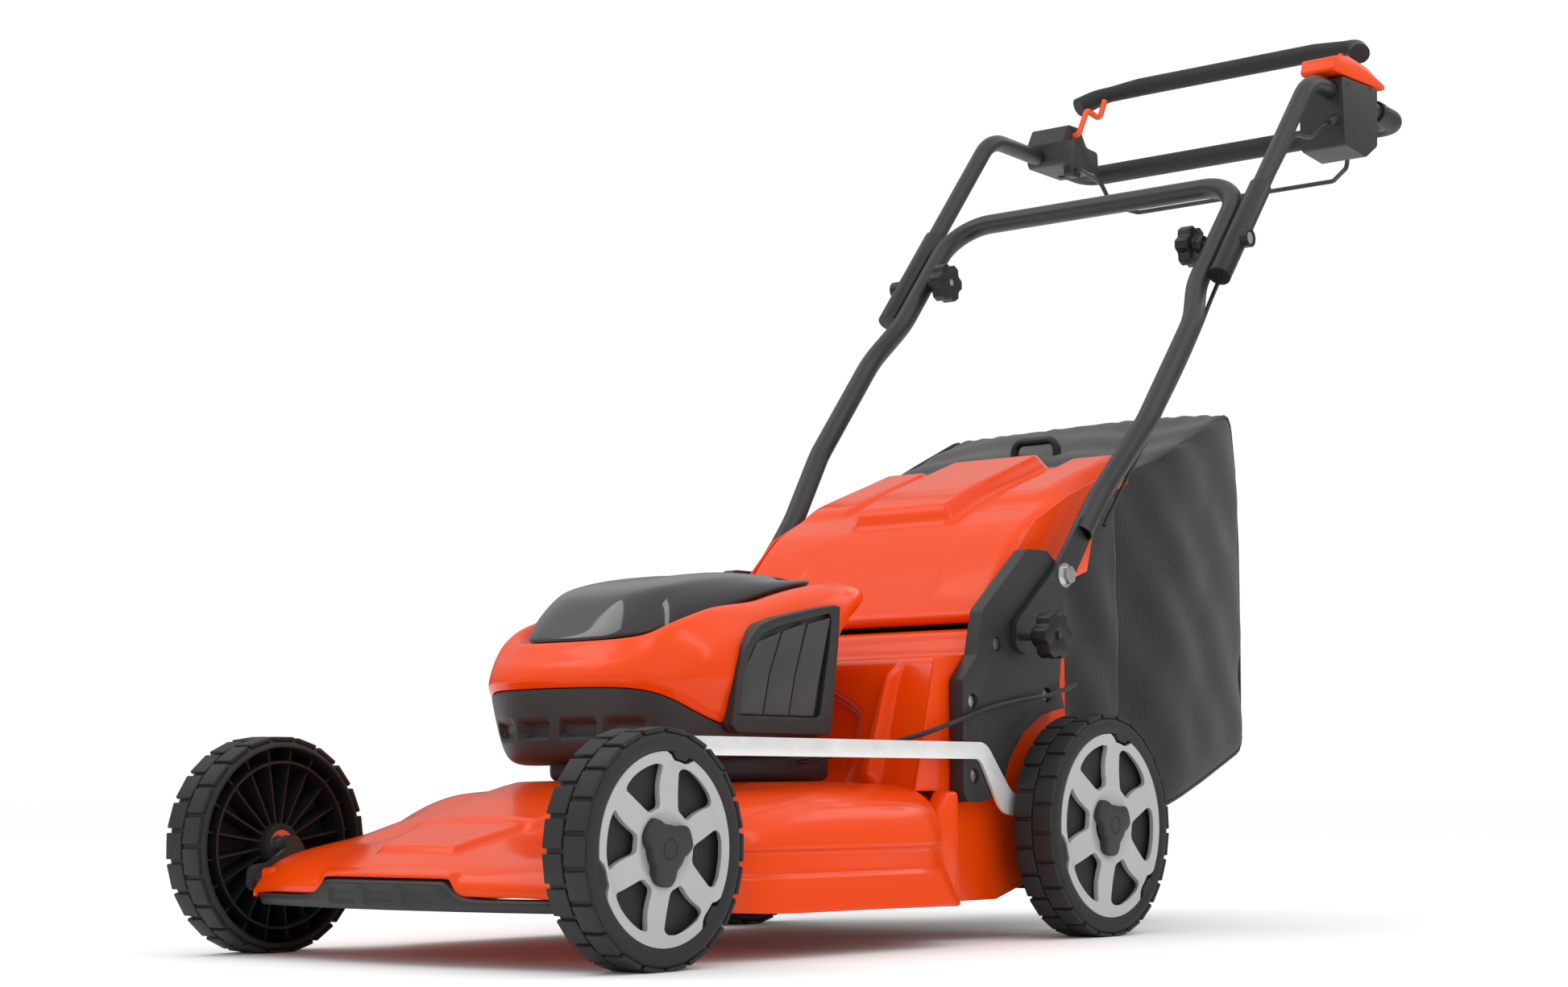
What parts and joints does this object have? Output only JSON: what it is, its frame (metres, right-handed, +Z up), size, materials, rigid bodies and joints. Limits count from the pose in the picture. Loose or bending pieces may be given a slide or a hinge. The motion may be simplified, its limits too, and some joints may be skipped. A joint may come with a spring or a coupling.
{
  "type": "push lawn mower",
  "caption": "Walk-behind battery lawn mower: height-adjustable deck on cranked axles, folding handle with sprung bails, lift-up battery lid and pull-off grass bag.",
  "frame": {"origin": "on the ground, midway between the machine's left and right sides and midway between its front and rear ends", "axes": "+X to the machine's left, -Y forwards, +Z up"},
  "size_m": [0.541, 1.5816, 1.1292],
  "materials": {
    "orange_plastic": "moulded, semi-gloss orange",
    "dark_plastic": "moulded, fine-grained dark grey",
    "black_plastic": "polished black",
    "trim_grey": "satin mid grey",
    "wheel_black": "matt black with a block tread",
    "black_tube": "powder-coated black",
    "orange_metal": "powder-coated orange",
    "zinc_steel": "bright zinc plate",
    "axle_steel": "painted black",
    "motor_metal": "cast, satin",
    "blade_steel": "painted, ground edges",
    "grip_rubber": "matt foam",
    "bag_fabric": "woven mesh, black",
    "cable_rubber": "matt black jacket"
  },
  "bodies": {
    "chassis": {"deck": "orange_plastic", "bumper": "dark_plastic", "cutting_motor": "motor_metal", "motor_pedestal": "dark_plastic", "housing_base": "dark_plastic", "housing_shell": "orange_plastic", "battery_tray": "dark_plastic", "battery": "black_plastic", "vent_panels": "dark_plastic", "left_bracket": "dark_plastic", "right_bracket": "dark_plastic", "bracket_fasteners": "zinc_steel", "flap_hinge_rod": "zinc_steel", "drive_gearbox": "dark_plastic", "deck_cable": "cable_rubber"},
    "blade_rotor": {"motor_shaft": "zinc_steel", "blade_adapter": "motor_metal", "blade": "blade_steel", "blade_bolt": "zinc_steel"},
    "battery_lid": {"battery_lid": "black_plastic"},
    "rear_flap": {"rear_flap": "orange_plastic"},
    "trailing_skirt": {"trailing_skirt": "grip_rubber"},
    "front_axle": {"front_axle": "axle_steel"},
    "rear_axle": {"rear_axle": "axle_steel", "height_lever": "dark_plastic"},
    "link_bar": {"link_bar": "zinc_steel"},
    "front_left_wheel": {"front_left_wheel": "wheel_black", "front_left_bearing": "zinc_steel", "front_left_trim": "trim_grey", "front_left_cap": "dark_plastic"},
    "front_right_wheel": {"front_right_wheel": "wheel_black", "front_right_bearing": "zinc_steel", "front_right_trim": "trim_grey", "front_right_cap": "dark_plastic"},
    "rear_left_wheel": {"rear_left_wheel": "wheel_black", "rear_left_trim": "trim_grey", "rear_left_cap": "dark_plastic"},
    "rear_right_wheel": {"rear_right_wheel": "wheel_black", "rear_right_trim": "trim_grey", "rear_right_cap": "dark_plastic"},
    "lower_handle": {"lower_handle": "black_tube", "lower_cable": "cable_rubber"},
    "left_clamp_knob": {"left_clamp_knob": "black_plastic"},
    "right_clamp_knob": {"right_clamp_knob": "black_plastic"},
    "upper_handle": {"upper_handle": "black_tube", "handle_sleeves": "black_plastic", "fold_bolts": "zinc_steel", "grip_foam": "grip_rubber", "control_box": "dark_plastic", "pivot_block": "dark_plastic", "upper_cable": "cable_rubber"},
    "left_fold_knob": {"left_fold_knob": "black_plastic"},
    "right_fold_knob": {"right_fold_knob": "black_plastic"},
    "blade_bail": {"bail_rods": "orange_metal", "bail_grip": "black_plastic"},
    "drive_bail": {"drive_bail": "black_tube"},
    "start_lever": {"start_lever": "orange_plastic"},
    "grass_bag": {"grass_bag": "bag_fabric", "bag_frame": "dark_plastic", "bag_handle": "black_plastic"}
  },
  "joints": [
    {"name": "blade_spin", "type": "hinge", "parent": "chassis", "child": "blade_rotor", "pos_m": [0, -0.34175, 0.06], "axis": [0, 0, 1], "continuous": true},
    {"name": "lid_hinge", "type": "hinge", "parent": "chassis", "child": "battery_lid", "pos_m": [0, -0.25775, 0.3635], "axis": [1, 0, 0], "range_deg": [-75, 0]},
    {"name": "flap_hinge", "type": "hinge", "parent": "chassis", "child": "rear_flap", "pos_m": [0, -0.09575, 0.331], "axis": [1, 0, 0], "range_deg": [0, 35]},
    {"name": "skirt_hinge", "type": "hinge", "parent": "chassis", "child": "trailing_skirt", "pos_m": [0, 0.02025, 0.128], "axis": [1, 0, 0], "range_deg": [0, 45]},
    {"name": "rear_crank", "type": "hinge", "parent": "chassis", "child": "rear_axle", "pos_m": [0, -0.03375, 0.0843], "axis": [1, 0, 0], "range_deg": [-33, 27]},
    {"name": "front_crank", "type": "hinge", "parent": "chassis", "child": "front_axle", "pos_m": [0, -0.73125, 0.0716], "axis": [1, 0, 0], "range_deg": [-33, 27]},
    {"name": "link_pivot", "type": "hinge", "parent": "rear_axle", "child": "link_bar", "pos_m": [0, -0.03375, 0.1293], "axis": [1, 0, 0], "range_deg": [-27, 33]},
    {"name": "front_left_spin", "type": "hinge", "parent": "front_axle", "child": "front_left_wheel", "pos_m": [0.243, -0.68925, 0.1016], "axis": [1, 0, 0], "continuous": true},
    {"name": "front_right_spin", "type": "hinge", "parent": "front_axle", "child": "front_right_wheel", "pos_m": [-0.243, -0.68925, 0.1016], "axis": [1, 0, 0], "continuous": true},
    {"name": "rear_left_spin", "type": "hinge", "parent": "rear_axle", "child": "rear_left_wheel", "pos_m": [0.243, 0.00825, 0.1143], "axis": [1, 0, 0], "continuous": true},
    {"name": "rear_right_spin", "type": "hinge", "parent": "rear_axle", "child": "rear_right_wheel", "pos_m": [-0.243, 0.00825, 0.1143], "axis": [1, 0, 0], "continuous": true},
    {"name": "handle_hinge", "type": "hinge", "parent": "chassis", "child": "lower_handle", "pos_m": [0, 0.00325, 0.377], "axis": [1, 0, 0], "range_deg": [0, 95]},
    {"name": "handle_fold", "type": "hinge", "parent": "lower_handle", "child": "upper_handle", "pos_m": [0, 0.34491, 0.79], "axis": [1, 0, 0], "range_deg": [-100, 0]},
    {"name": "left_clamp_turn", "type": "hinge", "parent": "lower_handle", "child": "left_clamp_knob", "pos_m": [0.246, -0.07675, 0.308], "axis": [1, 0, 0], "continuous": true},
    {"name": "right_clamp_turn", "type": "hinge", "parent": "lower_handle", "child": "right_clamp_knob", "pos_m": [-0.246, -0.07675, 0.308], "axis": [1, 0, 0], "continuous": true},
    {"name": "left_fold_turn", "type": "hinge", "parent": "upper_handle", "child": "left_fold_knob", "pos_m": [0.184, 0.34491, 0.79], "axis": [1, 0, 0], "continuous": true},
    {"name": "right_fold_turn", "type": "hinge", "parent": "upper_handle", "child": "right_fold_knob", "pos_m": [-0.184, 0.34491, 0.79], "axis": [1, 0, 0], "continuous": true},
    {"name": "blade_bail_pull", "type": "hinge", "parent": "upper_handle", "child": "blade_bail", "pos_m": [0, 0.67625, 1.047], "axis": [1, 0, 0], "range_deg": [-44, 0], "stiffness_Nm_per_rad": 1.5, "springref_deg": 17.19},
    {"name": "drive_bail_pull", "type": "hinge", "parent": "upper_handle", "child": "drive_bail", "pos_m": [0, 0.68025, 1], "axis": [1, 0, 0], "range_deg": [0, 24], "stiffness_Nm_per_rad": 1, "springref_deg": -17.19},
    {"name": "start_lever_lift", "type": "hinge", "parent": "upper_handle", "child": "start_lever", "pos_m": [0, 0.60825, 1.046], "axis": [1, 0, 0], "range_deg": [0, 8], "stiffness_Nm_per_rad": 0.8, "springref_deg": -17.19},
    {"name": "bag_slide", "type": "slide", "parent": "chassis", "child": "grass_bag", "axis": [0, 1, 0], "range_m": [0, 0.3]}
  ],
  "couplings": [
    {"joint": "front_crank", "follows": "rear_crank", "ratio": 1},
    {"joint": "link_pivot", "follows": "rear_crank", "ratio": -1}
  ]
}
